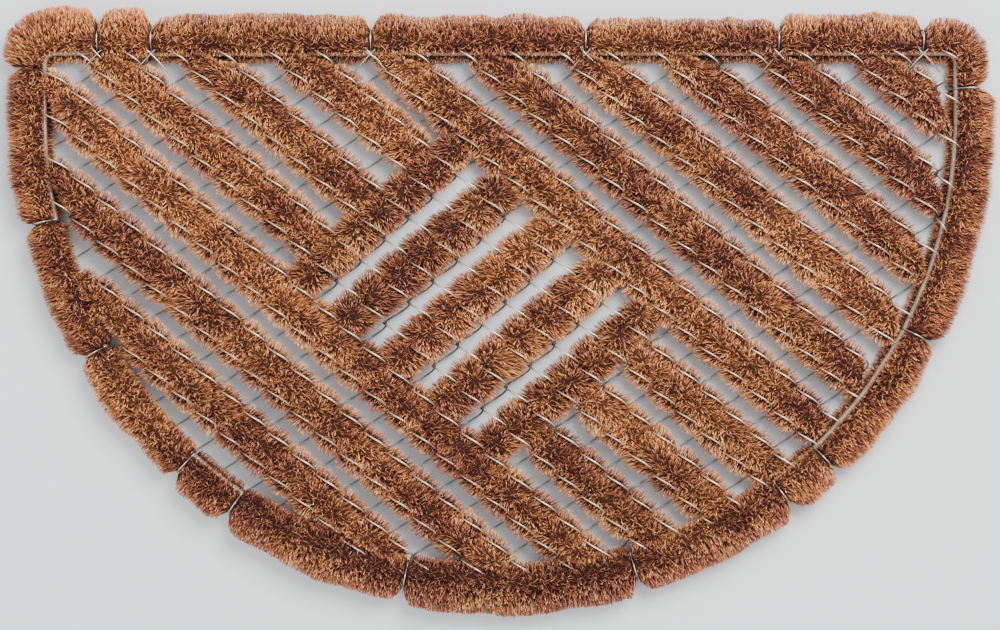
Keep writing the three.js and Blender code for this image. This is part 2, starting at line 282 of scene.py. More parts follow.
# Materials
coirLook = {
    # dark coir and warm coir, each from its root, darkened as painted shade deep in the brush, to its
    # tip, and the palest tips, a painted highlight
    "shadedRoots": [(0.075, 0.018, 0.011), (0.17, 0.050, 0.020)],
    "tips": [(0.54, 0.178, 0.098), (1.0, 0.43, 0.150)],
    "highlightTan": (1.0, 0.74, 0.44),
    "places": [0.12, 0.5, 0.8],  # of root, middle and tip along a bristle
    # scale and detail of each noise, and how far wide and small patches turn the coir warm
    "wide": (15.0, 2.0),
    "patches": (55.0, 2.0),
    "grain": (1400.0, 1.0),
    "fine": (900.0, 2.0),
    "wideTurn": 2.6,
    "patchTurn": 2.4,
    "ownTurn": 0.5,
    # brightness of a bristle: its own share and the grain's, then the least and what is added
    "ownShade": 0.85,
    "grainShade": 0.9,
    "grainMiddle": 0.42,
    "shadePower": 2.0,
    "darkest": 0.45,
    "brighter": 1.85,
    "darkTone": 0.80,
    "warmTone": 0.36,
    # the tips of the brightest bristles turn tan: a painted highlight
    "highlightFrom": 0.80,
    "highlightShare": 0.8,
    "bump": 0.4 * mm,
    "bumpStrength": 0.5,
    "smoothest": 0.65,
    "rougher": 0.25,
    "specular": 0.2,
}
wireLook = {
    "big": (60.0, 3.0),
    "small": (700.0, 4.0),
    "bigStain": 0.6,
    "smallStain": 0.5,
    "stainEdge": 5.0,
    # above this height a wire shows its clean colour, pale as a painted highlight, and below it a darker
    # colour as painted shade
    "litFrom": 17.5 * mm,
    "litOver": 4 * mm,
    # a wire's sides are darkened towards its low colour: painted shade
    "sideShadeBlend": 0.5,
    "sideShade": 1.5,
    "bump": 0.3 * mm,
    "bumpStrength": 0.35,
    "smoothest": 0.33,
    "rougher": 0.35,
    "duller": 0.5,
}
zincColours = {
    # the clean colour is lit as a painted highlight on top, then the stained colour, then the darker
    # colour low down as painted shade
    "cleanLit": (0.92, 0.77, 0.58),
    "stained": (0.16, 0.12, 0.09),
    "shadedLow": (0.21, 0.21, 0.19),
    "metallic": 0.9,
    "spots": 0.62,
}
rustColours = {
    "cleanLit": (0.44, 0.33, 0.26),
    "stained": (0.20, 0.11, 0.07),
    "shadedLow": (0.44, 0.33, 0.26),
    "metallic": 0.35,
    "spots": 0.50,
}


def newMaterial(name):
    material = bpy.data.materials.new(name)
    material.use_nodes = True
    return material, Nodes(material.node_tree), material.node_tree.nodes["Principled BSDF"].inputs


def noise(nodes, where, scaleAndDetail):
    scale, detail = scaleAndDetail
    return nodes.add("ShaderNodeTexNoise", {}, {"Vector": where, "Scale": scale, "Detail": detail})


def bumped(nodes, look, height):
    sockets = {"Strength": look["bumpStrength"], "Distance": look["bump"], "Height": height}
    return nodes.add("ShaderNodeBump", {}, sockets)


def mixedColour(nodes, share, first, second):
    return nodes.add("ShaderNodeMix", {"data_type": "RGBA"}, {0: share, 6: first, 7: second}, 2)


def joined(nodes, shader, values):
    for title, value in values.items():
        nodes.tree.links.new(value.socket, shader[title])


def bristleRamp(nodes, along, root, tip):  # a bristle's colours, which change most over its middle
    middle = [(r + t) / 2 for r, t in zip(root, tip)]
    stops = list(zip(coirLook["places"], (root, middle, tip)))
    return nodes.add("ShaderNodeValToRGB", {"stops": stops}, {0: along})


def coirMaterial(name, look):  # bristles: dark where they grow, a painted shade deep in the brush, lighter at their ends
    material, nodes, shader = newMaterial(name)
    along, shade, tone = (
        nodes.add("ShaderNodeAttribute", {"attribute_name": title}, {}, "Fac")
        for title in ("along", "shade", "tone")
    )
    where = nodes.add("ShaderNodeTexCoord", {}, {}, "Object")
    grain = noise(nodes, where, look["grain"])
    shade = (shade * look["ownShade"] + (grain - look["grainMiddle"]) * look["grainShade"]).clamped()
    wide = noise(nodes, where, look["wide"])
    patches = noise(nodes, where, look["patches"])
    warm = tone + (wide - 0.5) * look["wideTurn"] + (patches - 0.5) * look["patchTurn"]
    warm = (warm + (shade - 0.5) * look["ownTurn"]).clamped()
    dark, light = (
        bristleRamp(nodes, along, root, tip) for root, tip in zip(look["shadedRoots"], look["tips"])
    )
    mixed = mixedColour(nodes, warm, dark, light)
    strength = shade ** look["shadePower"] * look["brighter"] + look["darkest"]
    strength = strength * (tone * look["warmTone"] + look["darkTone"])
    varied = nodes.add("ShaderNodeVectorMath", {"operation": "SCALE"}, {0: mixed, "Scale": strength})
    # painted highlight: the tips of the brightest bristles turn towards tan
    paintedHighlight = ((shade - look["highlightFrom"]) / (1 - look["highlightFrom"])).clamped() * along * look["highlightShare"]
    colour = mixedColour(nodes, paintedHighlight, varied, (*look["highlightTan"], 1))
    fine = noise(nodes, where, look["fine"])
    rough = fine * look["rougher"] + look["smoothest"]
    joined(nodes, shader, {"Base Color": colour, "Normal": bumped(nodes, look, fine), "Roughness": rough})
    shader["Specular IOR Level"].default_value = look["specular"]
    return material


def wireMaterial(name, look, colours):
    material, nodes, shader = newMaterial(name)
    where = nodes.add("ShaderNodeTexCoord", {}, {}, "Object")
    big = noise(nodes, where, look["big"])
    small = noise(nodes, where, look["small"])
    stain = big * look["bigStain"] + small * look["smallStain"] - colours["spots"]
    stain = (stain * look["stainEdge"]).clamped()
    height = nodes.add("ShaderNodeSeparateXYZ", {}, {0: where}, 2)
    # painted shade: where the wire turns away from the view it takes more of its darker colour
    shadedSide = nodes.add("ShaderNodeLayerWeight", {}, {"Blend": look["sideShadeBlend"]}, "Facing")
    # painted light: the clean colour shows above the height and the darker colour below as painted shade
    litShare = ((height - look["litFrom"]) / look["litOver"]).clamped()
    litShare = litShare * (1 - shadedSide * look["sideShade"]).clamped()
    base = mixedColour(nodes, litShare, (*colours["shadedLow"], 1), (*colours["cleanLit"], 1))
    colour = mixedColour(nodes, stain, base, (*colours["stained"], 1))
    rough = stain * look["rougher"] + look["smoothest"]
    metal = colours["metallic"] - stain * (look["duller"] * colours["metallic"])
    values = {"Base Color": colour, "Normal": bumped(nodes, look, small), "Roughness": rough}
    joined(nodes, shader, {**values, "Metallic": metal})
    return material


coir = coirMaterial("coirBristles", coirLook)
galvanised = wireMaterial("zincWire", wireLook, zincColours)
rusty = wireMaterial("rustyRod", wireLook, rustColours)
print("materials made")


# Tubes along paths
def tubeTree():  # a path of edges becomes a round wire with smooth bends
    inputs = {"Radius": "Float", "Turn": "Float", "Facets": "Int", "Finish": "Material"}
    nodes, given = geometryTree("Wire along a path", inputs)
    path = nodes.add("GeometryNodeMeshToCurve", {}, {"Mesh": given.out("Geometry")})
    smooth = nodes.add(
        "GeometryNodeFilletCurve",
        {"mode": "POLY"},
        {"Curve": path, "Count": 3, "Radius": given.out("Turn"), "Limit Radius": True},
    )
    ring = nodes.add(
        "GeometryNodeCurvePrimitiveCircle",
        {"mode": "RADIUS"},
        {"Resolution": given.out("Facets"), "Radius": given.out("Radius")},
    )
    tube = nodes.add("GeometryNodeCurveToMesh", {}, {0: smooth, 1: ring, "Fill Caps": True})
    whole = nodes.add("GeometryNodeRealizeInstances", {}, {0: tube})
    finished = nodes.add("GeometryNodeSetMaterial", {}, {0: whole, "Material": given.out("Finish")})
    nodes.add("NodeGroupOutput", {}, {0: finished})
    return nodes.tree


wireTree = tubeTree()


def wirePiece(name, paths, radius, turn, facets, material):  # turn: the radius of its bends
    vertices, edges = [], []
    for path in paths:
        first = len(vertices)
        vertices += [tuple(p) for p in moved(path)]
        edges += [(first + i, first + i + 1) for i in range(len(path) - 1)]
    piece = newPiece(name, vertices, edges, [])
    applyTree(piece, wireTree, {"Radius": radius, "Turn": turn, "Facets": facets, "Finish": material})
    piece.data.shade_smooth()
    return piece


def rodPath():  # it starts and ends in the middle of the back run
    corners, arcs = rod["cornerSteps"], rod["arcSteps"]
    distances = [runBack / 2 + rod["butt"]]
    distances += [runBack + runCorner * k / corners for k in range(corners + 1)]
    distances += [roundStart + runRound * k / arcs for k in range(arcs + 1)]
    distances += [lastCorner + runCorner * k / corners for k in range(corners + 1)]
    distances.append(runBack / 2 + runWhole)
    return [alongRod(distance)[0] for distance in distances]


frameRod = wirePiece("frameRod", [rodPath()], rod["radius"], 0.0, rod["facets"], rusty)
hold(frameRod, ["frame_rod"])


def hookX(y, side):
    below = min(y - rod["arcY"], 0)
    return rod["arcX"] + side * math.sqrt((rod["arcRadius"] + net["hook"]) ** 2 - below**2)


def pastRod(start, through):
    direction = unit(through - start)
    return start + direction * distanceToRod(start, direction, -net["hook"])


def wireBends(wire):  # from the back edge to the rim: places of the bends, and their sides
    bends = []
    previous = place(wire if wire % 2 == 0 else wire + 1, 0)
    row = 1
    while True:
        side = -1 if (row - wire) % 2 == 0 else 1
        spot = place(wire if side < 0 else wire + 1, row)
        bend = spot + np.array([side * net["bendX"], 0, 0])
        if not insideRod(spot, net["bendRoom"]):
            if net["outer"].get(wire) != side:
                bends.append((pastRod(previous, bend), side))
                return bends
            bend[0] = hookX(bend[1], side)
            bends.append((bend, side))
            if not insideRod(place(wire + 1 if side < 0 else wire, row + 1), net["bendRoom"]):
                return bends
        else:
            bends.append((bend, side))
        previous = bend
        row += 1


def coiled(bends):  # a strand rises after a left bend and falls after a right one
    path = []
    for (start, side), (end, _) in zip(bends, bends[1:]):
        for share in net["samples"]:
            eased = share + net["round"] * ((1 - math.cos(math.pi * share)) / 2 - share)
            quarter = math.pi / 2 * share  # strands bow more towards their right bends
            eased += net["bow"] * ((math.sin(quarter) if side < 0 else 1 - math.cos(quarter)) - share)
            spot = start + (end - start) * share
            spot[0] = start[0] + (end[0] - start[0]) * eased
            spot[2] -= side * net["rise"] * math.sin(math.pi * share) ** net["bulge"]
            path.append(spot)
    path.append(bends[-1][0])
    return path


def netPaths(first, last):  # two wires share a hook round the back run, and end round the rim
    paths = []
    for wire in range(first, last, 2):
        hook = place(wire + 1, 0)
        up = coiled([(hook, 1)] + wireBends(wire))[::-1]
        down = coiled([(hook, -1)] + wireBends(wire + 1))
        paths.append(up + down[1:])
    return paths


for nodeName, first, last in net["groups"]:
    paths = netPaths(first, last)
    wires = wirePiece(nodeName + "_wires", paths, net["radius"], 0.0, net["facets"], galvanised)
    hold(wires, [nodeName])
print("rod and net made")


# Bristles grown on a core
brush = {
    "density": 388000.0,
    "quickDensity": 90000.0,
    "thickness": 0.345 * mm,
    "tip": 0.8,
    "lengths": (0.86, 1.08),  # shares of the reach and of the thickness, drawn for each bristle
    "widths": (0.7, 1.25),
    "seeds": {"aim": 11, "length": 23, "width": 37, "shade": 51, "swirl": 500},
    "floor": 0.3 * mm,
    # how far bristles aim at random at the sides and on top
    "tilt": 0.18,
    "topTilt": 0.58,
    # the core's share of the section, and how the top bristles flatten and lengthen
    "core": 0.67,
    "sideCore": 0.06,
    "flat": 0.45,
    "longer": 0.20,
    "swirl": 0.30,
    "swirlRings": 9,
    "angles": 20,
}


def attribute(nodes, name, kind="FLOAT"):
    return nodes.add("GeometryNodeInputNamedAttribute", {"data_type": kind}, {"Name": name})


def randomShare(nodes, low, high, seed):
    sockets = {2: low, 3: high, "Seed": seed}
    return nodes.add("FunctionNodeRandomValue", {"data_type": "FLOAT"}, sockets, 1)


def storedAttribute(nodes, geometry, domain, name, value):
    settings = {"data_type": "FLOAT", "domain": domain}
    sockets = {"Geometry": geometry, "Name": name, "Value": value}
    return nodes.add("GeometryNodeStoreNamedAttribute", settings, sockets)


def bluntSpike(nodes, tip):  # a tetrahedron with two corners raised to the tip, one unit high
    cone = nodes.add(
        "GeometryNodeMeshCone",
        {"fill_type": "NGON"},
        {"Vertices": 3, "Side Segments": 1, "Radius Top": 0.0, "Radius Bottom": 1.0, "Depth": 1.0},
    )
    corner = nodes.add("ShaderNodeSeparateXYZ", {}, {0: nodes.add("GeometryNodeInputPosition", {}, {})})
    raised = corner.out("X").maths("GREATER_THAN", 0.9)
    height = corner.out("Z") + raised
    side = (raised - corner.out("Z")) * tip
    ends = nodes.add("ShaderNodeCombineXYZ", {}, {0: side, 1: corner.out("Y"), 2: height})
    blunt = nodes.add("GeometryNodeSetPosition", {}, {"Geometry": cone, "Position": ends})
    top = nodes.add("ShaderNodeSeparateXYZ", {}, {0: nodes.add("GeometryNodeInputPosition", {}, {})}, 2)
    return storedAttribute(nodes, blunt, "POINT", "along", top)


def bristleTree():
    floats = ("Density", "Thickness", "Tip", "Shortest", "Longest", "Thinnest", "Thickest", "Floor")
    inputs = dict.fromkeys(floats, "Float")
    inputs.update({"Seed": "Int", "Finish": "Material"})
    nodes, given = geometryTree("Bristles on a core", inputs)
    seeds = brush["seeds"]
    core = given.out("Geometry")
    density = attribute(nodes, "crowd") * given.out("Density")
    spots = nodes.add(
        "GeometryNodeDistributePointsOnFaces",
        {"distribute_method": "RANDOM"},
        {"Mesh": core, "Density": density, "Seed": given.out("Seed")},
    )
    jitter = nodes.add(
        "FunctionNodeRandomValue",
        {"data_type": "FLOAT_VECTOR"},
        {0: (-1, -1, -1), 1: (1, 1, 1), "Seed": seeds["aim"]},
    )
    sockets = {0: jitter, "Scale": attribute(nodes, "loose")}
    tilted = nodes.add("ShaderNodeVectorMath", {"operation": "SCALE"}, sockets)
    sockets = {0: attribute(nodes, "lean", "FLOAT_VECTOR"), 1: tilted}
    aim = nodes.add("ShaderNodeVectorMath", {"operation": "ADD"}, sockets)
    aimed = nodes.add("FunctionNodeAlignRotationToVector", {"axis": "Z"}, {"Vector": aim})
    lengths = randomShare(nodes, given.out("Shortest"), given.out("Longest"), seeds["length"])
    widths = randomShare(nodes, given.out("Thinnest"), given.out("Thickest"), seeds["width"])
    width = widths * given.out("Thickness")
    length = lengths * attribute(nodes, "reach")
    size = nodes.add("ShaderNodeCombineXYZ", {}, {0: width, 1: width, 2: length})
    spike = bluntSpike(nodes, given.out("Tip"))
    grown = nodes.add(
        "GeometryNodeInstanceOnPoints",
        {},
        {"Points": spots, "Instance": spike, "Rotation": aimed, "Scale": size},
    )
    shade = randomShare(nodes, 0.0, 1.0, seeds["shade"])
    shaded = storedAttribute(nodes, grown, "INSTANCE", "shade", shade)
    real = nodes.add("GeometryNodeRealizeInstances", {}, {0: shaded})
    # the core joins the bristles without an along value, so it takes the dark root colour: painted shade
    # inside the brush
    both = nodes.add("GeometryNodeJoinGeometry", {}, {0: real})
    nodes.tree.links.new(core.socket, both.socket.node.inputs[0])
    spot = nodes.add("GeometryNodeInputPosition", {}, {})  # nothing reaches below the floor
    height = nodes.add("ShaderNodeSeparateXYZ", {}, {0: spot}, 2)
    above = height.maths("MAXIMUM", given.out("Floor"))
    lifted = nodes.add("ShaderNodeCombineXYZ", {}, {0: height.out("X"), 1: height.out("Y"), 2: above})
    flat = nodes.add("GeometryNodeSetPosition", {}, {"Geometry": both, "Position": lifted})
    finished = nodes.add("GeometryNodeSetMaterial", {}, {0: flat, "Material": given.out("Finish")})
    nodes.add("NodeGroupOutput", {}, {0: finished})
    return nodes.tree


brushTree = bristleTree()


def around(whole):  # the angles of a section's points, as parts of a whole turn
    return whole * np.arange(brush["angles"]) / brush["angles"]


def coreFaces(rings, count):  # side faces from ring to ring, and a fan at both ends
    faces = []
    for i in range(rings - 1):
        for k in range(count):
            a, b = i * count + k, i * count + (k + 1) % count
            faces.append((a, b, b + count, a + count))
    first, last = rings * count, rings * count + 1
    for k in range(count):
        after = (k + 1) % count
        faces.append((first, after, k))
        faces.append((last, (rings - 1) * count + k, (rings - 1) * count + after))
    return faces


def closedCore(name, vertices, faces):
    piece = newPiece(name, vertices.tolist(), [], faces)
    work = bmesh.new()
    work.from_mesh(piece.data)
    bmesh.ops.recalc_face_normals(work, faces=work.faces)
    work.to_mesh(piece.data)
    work.free()
    return piece


def setAttribute(piece, name, values):
    isVector = values.ndim == 2
    kind = "FLOAT_VECTOR" if isVector else "FLOAT"
    data = piece.data.attributes.new(name, kind, "POINT").data
    data.foreach_set("vector" if isVector else "value", values.astype(np.float32).ravel())


def brushPiece(name, centres, across, along, radii, lean, crowd, tone, seed, endCrowd):
    # across, along and tone: one row for each ring. centres, radii, lean and crowd: ring by angle.
    rings, count = radii.shape
    angle = around(2 * math.pi)
    outward = np.cos(angle)[None, :, None] * across[:, None, :]
    outward = outward + np.sin(angle)[None, :, None] * np.array([0, 0, 1.0])
    inner = (brush["core"] + brush["sideCore"] * np.abs(np.cos(angle)) ** 2) * radii
    points = moved(centres) + outward * inner[:, :, None]
    upward = np.maximum(np.sin(angle), 0)[None, :]
    every = brush["swirlRings"]
    random = np.random.default_rng(seed + brush["seeds"]["swirl"])
    knots = random.normal(0, brush["swirl"], rings // every + 2)
    swirl = np.interp(np.arange(rings) / every, np.arange(len(knots)), knots)
    aim = outward + lean[:, :, None] * along[:, None, :]
    aim = aim + (swirl[:, None] * upward**2)[:, :, None] * across[:, None, :]
    aim[:, :, 2] *= 1 - brush["flat"] * upward
    length = (radii - inner) * np.maximum(np.linalg.norm(aim, axis=2), 1 + brush["longer"] * upward)
    loose = np.repeat(brush["tilt"] + (brush["topTilt"] - brush["tilt"]) * upward, rings, axis=0)

    def withEnds(values, ends):  # adds the two points that close the core's ends
        return np.concatenate([values.reshape(-1, *ends.shape[1:]), ends])

    vertices = withEnds(points, points[[0, -1]].mean(axis=1))
    piece = closedCore(name, vertices, coreFaces(rings, count))
    setAttribute(piece, "lean", withEnds(aim, along[[0, -1]] * [[-1], [1]]))
    setAttribute(piece, "reach", withEnds(length, length[[0, -1]].mean(axis=1)))
    setAttribute(piece, "crowd", withEnds(crowd, np.full(2, endCrowd)))
    setAttribute(piece, "tone", withEnds(np.repeat(tone, count), tone[[0, -1]]))
    setAttribute(piece, "loose", withEnds(loose, np.full(2, brush["tilt"])))
    values = {
        "Density": brush["density"],
        "Seed": seed,
        "Thickness": brush["thickness"] * 1.0,
        "Tip": brush["tip"],
        "Shortest": brush["lengths"][0],
        "Longest": brush["lengths"][1],
        "Thinnest": brush["widths"][0],
        "Thickest": brush["widths"][1],
        "Floor": brush["floor"],
        "Finish": coir,
    }
    return applyTree(piece, brushTree, values)


# The rolls
roll = {
    "halfWidthDown": 22.0 * mm,
    "halfWidthUp": 21.4 * mm,
    "halfHeight": 15.2 * mm,
    # where strands cross, wires pinch a roll's sides and press the face that they cross
    "nodePinch": 3.7 * mm,
    "nodeWide": 4.2 * mm,
    "sidePower": 1.5,
    "freePinch": 0.12,
    "press": 9 * mm,
    "pressWide": 3.8 * mm,
    "pressPower": 1.2,
    # the grooves that the wires draw along a roll, in degrees round it
    "groove": 5.2 * mm,
    "grooveAngle": 36,
    "grooveWide": 15,
    "lump": 0.7 * mm,
    # bristles fan out between the nodes, splay at the ends and sway at random
    "fan": 0.36,
    "freeFan": 0.3,
    "splay": 0.25,
    "splayWide": 5 * mm,
    "sway": 0.30,
    "swaySteps": 1.0,
    # how densely bristles grow: everywhere, more on top, fewer below, and at the ends
    "crowd": {"all": 1.05, "upper": 0.25, "lower": -0.8, "ends": 1.0},
    # ends: drawn in, cut off along the rod, or stopped short of another roll
    "corner": 0.34,
    "endDraw": 6.5 * mm,
    "endWide": 7 * mm,
    "stop": 15.5 * mm,
    "rodRoom": 2.4 * mm,
    "rightRoom": 6.7 * mm,
    "rightFrom": 205 * mm,
    "mostSteps": 60,
    "ringGap": 0.0004,  # in steps
    "firstSeeds": {"down": 1, "up": 31},
    # how far some rolls lie off the net's rows, at both ends
    "shifts": {
        "roll_up_1": (4.5 * mm, 2.2 * mm),
        "roll_up_2": (8.7 * mm, 4.3 * mm),
        "roll_up_3": (9.0 * mm, 4.5 * mm),
        "roll_up_4": (9.0 * mm, 4.8 * mm),
        "roll_up_5": (10.5 * mm, 7.0 * mm),
        "roll_down_6": (0, -4.5 * mm),
    },
    "narrower": {"roll_up_1": 2.2 * mm, "roll_up_5": 1.5 * mm},
    "parts": [0, 0.06, 0.13, 0.24, 0.5, 0.76, 0.87, 0.94],  # places of the rings in a step
    # node, line, from, to, and how warm the coir is at both ends
    "down": [
        ("roll_down_1", -11, "rim", "rim", 0.50, 0.55),
        ("roll_down_2", -7, "rim", "rim", 0.30, 0.55),
        ("roll_down_3", -3, "rim", "rim", 0.95, 0.20),
        ("roll_down_4", 1, "rim", 21, 0.70, 0.50),
        ("roll_down_5", 5, "rim", 21, 0.60, 0.45),
        ("roll_down_6", 9, "rim", 21, 0.60, 0.75),
        ("roll_down_7", 1, 36.2, "rim", 0.20, 0.30),
        ("roll_down_8", 5, 36.27, "rim", 0.60, 0.35),
        ("roll_down_9", 9, 36.35, "rim", 0.45, 0.40),
        ("roll_down_10", 13, "rim", "rim", 0.50, 0.45),
        ("roll_down_11", 17, "rim", "rim", 0.35, 0.35),
        ("roll_down_12", 21, "rim", "rim", 0.40, 0.75),
        ("roll_down_13", 25, "rim", "rim", 0.35, 0.60),
        ("roll_down_14", 29, "rim", "rim", 0.30, 0.45),
        ("roll_down_15", 33, "rim", "rim", 0.45, 0.40),
    ],
    "up": [
        ("roll_up_1", 21, -3, 13, 0.20, 0.35),
        ("roll_up_2", 25, -3, 13, 0.25, 0.30),
        ("roll_up_3", 29, -3, 13, 0.75, 0.60),
        ("roll_up_4", 33, -3, 13, 0.40, 0.75),
        ("roll_up_5", 37, -3, 13, 0.25, 0.15),
    ],
}


def rollEnds(line, limits, spot, step, across, offsets):  # its ends in steps, for offsets across it
    along, length = unit(step), np.linalg.norm(step)
    steps = [n / 2 for n in range(-roll["mostSteps"], roll["mostSteps"])]
    inside = [count for count in steps if insideRod(spot(line, count), roll["halfWidthDown"])]
    middle = inside[len(inside) // 2]
    centre = spot(line, middle)
    ends = []
    for limit, way in zip(limits, (-1, 1)):
        if limit == "rim":
            central = distanceToRod(centre, way * along, roll["rodRoom"])
            endX = (centre + way * along * central)[0]
            room = roll["rightRoom"] if way > 0 and endX > roll["rightFrom"] else roll["rodRoom"]
            starts = [centre + across * offset for offset in offsets]
            far = np.array([distanceToRod(start, way * along, room) for start in starts])
            central = distanceToRod(centre, way * along, room)
            far = np.minimum(far, central + roll["corner"] * length)
            ends.append(middle + way * far / length)
        else:
            ends.append(np.full(len(offsets), (limit - line) / 2 - way * roll["stop"] / length))
    return ends


def angleApart(angles, other):  # how far angles are from another one, either way round
    return np.abs((angles - other + math.pi) % (2 * math.pi) - math.pi)


def makeRoll(nodeName, line, start, stop, warmStart, warmStop, risesRight, seed):
    turn = -1 if risesRight else 1
    step = place(1, turn) - place(0, 0)
    length = np.linalg.norm(step)
    across = unit(place(1, -turn) - place(0, 0))
    angle = around(2 * math.pi)
    cosine, sine = np.cos(angle), np.sin(angle)
    halfWidth = roll["halfWidthUp"] if risesRight else roll["halfWidthDown"]
    halfWidth -= roll["narrower"].get(nodeName, 0)
    oval = 1 / np.hypot(cosine / halfWidth, sine / roll["halfHeight"])

    def spot(onLine, count):
        return place(onLine + count, turn * count)

    low, high = rollEnds(line, (start, stop), spot, step, across, cosine * oval)
    steps = range(-roll["mostSteps"], roll["mostSteps"])
    counts = np.array([k + 0.5 + part for k in steps for part in roll["parts"]])
    counts = counts[(counts > low.min()) & (counts < high.max())]
    order = np.arange(len(counts) + 2)[:, None] * roll["ringGap"]
    columns = np.concatenate([[low.min()], counts, [high.max()]])[:, None]
    columns = np.minimum(np.maximum(columns, low + order), high - order[::-1])
    shift = np.interp(columns, [low.min(), high.max()], roll["shifts"].get(nodeName, (0, 0)))
    centres = spot(line, 0) + (columns * length)[:, :, None] * unit(step) - shift[:, :, None] * across
    side = np.abs(cosine) ** roll["sidePower"]
    upper, lower = np.maximum(sine, 0), np.maximum(-sine, 0)
    pressed, free = (upper, lower) if risesRight else (lower, upper)
    fromNode = (columns - 0.5) - np.round(columns - 0.5)  # in steps, 0 where strands cross
    gap = np.abs(fromNode) * length
    pinch = np.exp(-((gap / roll["nodeWide"]) ** 2)) * (side + roll["freePinch"] * free)
    press = np.exp(-((gap / roll["pressWide"]) ** 2)) * pressed ** roll["pressPower"]
    grooveAt = np.radians(roll["grooveAngle"]) * (-1 if risesRight else 1)
    fromGroove = np.minimum(angleApart(angle, grooveAt), angleApart(angle, math.pi - grooveAt))
    groove = np.exp(-((fromGroove / math.radians(roll["grooveWide"])) ** 2))
    fromLow, fromHigh = (columns - low) * length, (high - columns) * length
    drawn = np.exp(-np.minimum(fromLow, fromHigh) / roll["endWide"])
    random = np.random.default_rng(seed)
    radii = oval - roll["nodePinch"] * pinch - roll["press"] * press - roll["groove"] * groove
    radii = radii - roll["endDraw"] * drawn + random.normal(0, roll["lump"], columns.shape)
    fanned = roll["freeFan"] + (1 - roll["freeFan"]) * (side + pressed)
    fan = -roll["fan"] * np.sin(2 * math.pi * fromNode) * fanned
    splay = np.exp(-fromHigh / roll["splayWide"]) - np.exp(-fromLow / roll["splayWide"])
    knots = np.arange(low.min(), high.max() + roll["swaySteps"], roll["swaySteps"])
    sway = np.interp(columns, knots, random.normal(0, roll["sway"], len(knots)))
    lean = fan + roll["splay"] * splay + sway
    share = roll["crowd"]
    crowd = share["all"] + share["upper"] * upper + share["lower"] * lower
    crowd = np.repeat(crowd[None, :], len(columns), axis=0)
    tone = warmStart + (warmStop - warmStart) * np.linspace(0, 1, len(columns))
    alongs = np.repeat(unit(step)[None, :], len(columns), axis=0)
    acrosses = np.repeat(across[None, :], len(columns), axis=0)
    name = nodeName + "_bristles"
    endCrowd = share["ends"]
    piece = brushPiece(name, centres, acrosses, alongs, radii, lean, crowd, tone, seed, endCrowd)
    hold(piece, [nodeName])


for seed, row in enumerate(roll["down"], roll["firstSeeds"]["down"]):
    makeRoll(*row, False, seed)
for seed, row in enumerate(roll["up"], roll["firstSeeds"]["up"]):
    makeRoll(*row, True, seed)
print("rolls made")


# The rim brush
rim = {
    "past": 5.5 * mm,
    "height": 14 * mm,
    "step": 3.4 * mm,
    "fewestRings": 6,
    # at a notch the section is drawn in, most of all outside, and bristles lean towards it
    "notchGap": 1.2 * mm,
    "notchWide": 3.6 * mm,
    "notchDrawn": 5.4 * mm,
    "innerDrawn": 0.15,
    "notchLean": 0.60,
    "leanWide": 6 * mm,
    "wave": 1.0 * mm,
    "waveStep": 12 * mm,
    "rough": 0.3 * mm,
    "longer": 1.0 * mm,
    # how densely bristles grow: everywhere, on top, outside, below, below and inside, at the ends
    "crowd": {"all": 1.0, "upper": 0.2, "outer": 0.5, "lower": -0.7, "under": 1.3, "ends": 0.6},
    "seeds": {"waves": 100, "bristles": 200},
    # reach of the bristles in mm by the angle from the way out of the mat, over bare and over
    # covered rod, and the share of it that grows with the reach past the rod
    "angles": [0, 20, 35, 60, 90, 120, 150, 180, 204, 225, 250, 270, 310, 335, 360],
    "bare": [22.5, 22, 19, 16.5, 15.5, 9, 3, 3, 15.5, 16, 14.5, 14, 17.5, 21.5, 22.5],
    "covered": [22.5, 22, 19, 16.5, 15.5, 15, 14, 13, 13.5, 14, 14.5, 14, 17.5, 21.5, 22.5],
    "grows": [1, 1, 1, 0.4, 0, 0, 0, 0, 0, 0, 0, 0, 0.6, 1, 1],
    # side, place, reach past the rod in mm, how far the rod is covered, how warm the coir is
    "notches": [
        ("back", -306, 33.5, 0.6, 0.50),
        ("back", -265, 29, 0.4, 0.35),
        ("back", -97.7, 28, 0.3, 0.30),
        ("back", 66, 26.5, 0.3, 0.20),
        ("back", 213, 29, 0.3, 0.40),
        ("back", 323, 25, 0.2, 0.40),
        ("right", 170.6, 30.7, 0.0, 0.35),
        ("round", 27.6, 29.8, 0.0, 0.40),
        ("round", 46.4, 29.5, 0.5, 0.35),
        ("round", 53.1, 30, 0.9, 0.15),
        ("round", 73.4, 31, 1.0, -0.15),
        ("round", 101.7, 29.5, 0.9, 0.00),
        ("round", 124.5, 28.5, 0.4, 0.20),
        ("round", 132.3, 25, 0.9, 0.25),
        ("round", 149.9, 25.6, 0.8, 0.30),
        ("round", 167.1, 29.5, 0.2, 0.50),
        ("left", 186, 35, 0.2, 0.60),
    ],
}


def notchDistance(side, at):  # at: mm along a straight side, degrees along the round one
    if side == "back":
        return at * mm - leftX - rod["corner"]
    if side == "right":
        return rightStart + rod["backY"] - rod["corner"] - at * mm
    if side == "left":
        return leftStart + at * mm - rod["arcY"]
    return roundStart + math.radians(at) * rod["arcRadius"]


def rimReach(reach, covered):  # the section's reach at each angle
    grown = reach - rim["past"] / mm - rim["bare"][0]
    base = np.array(rim["bare"]) * (1 - covered) + np.array(rim["covered"]) * covered
    reaches = base + grown * np.array(rim["grows"])
    return np.interp(around(360), rim["angles"], reaches) * mm + rim["longer"]


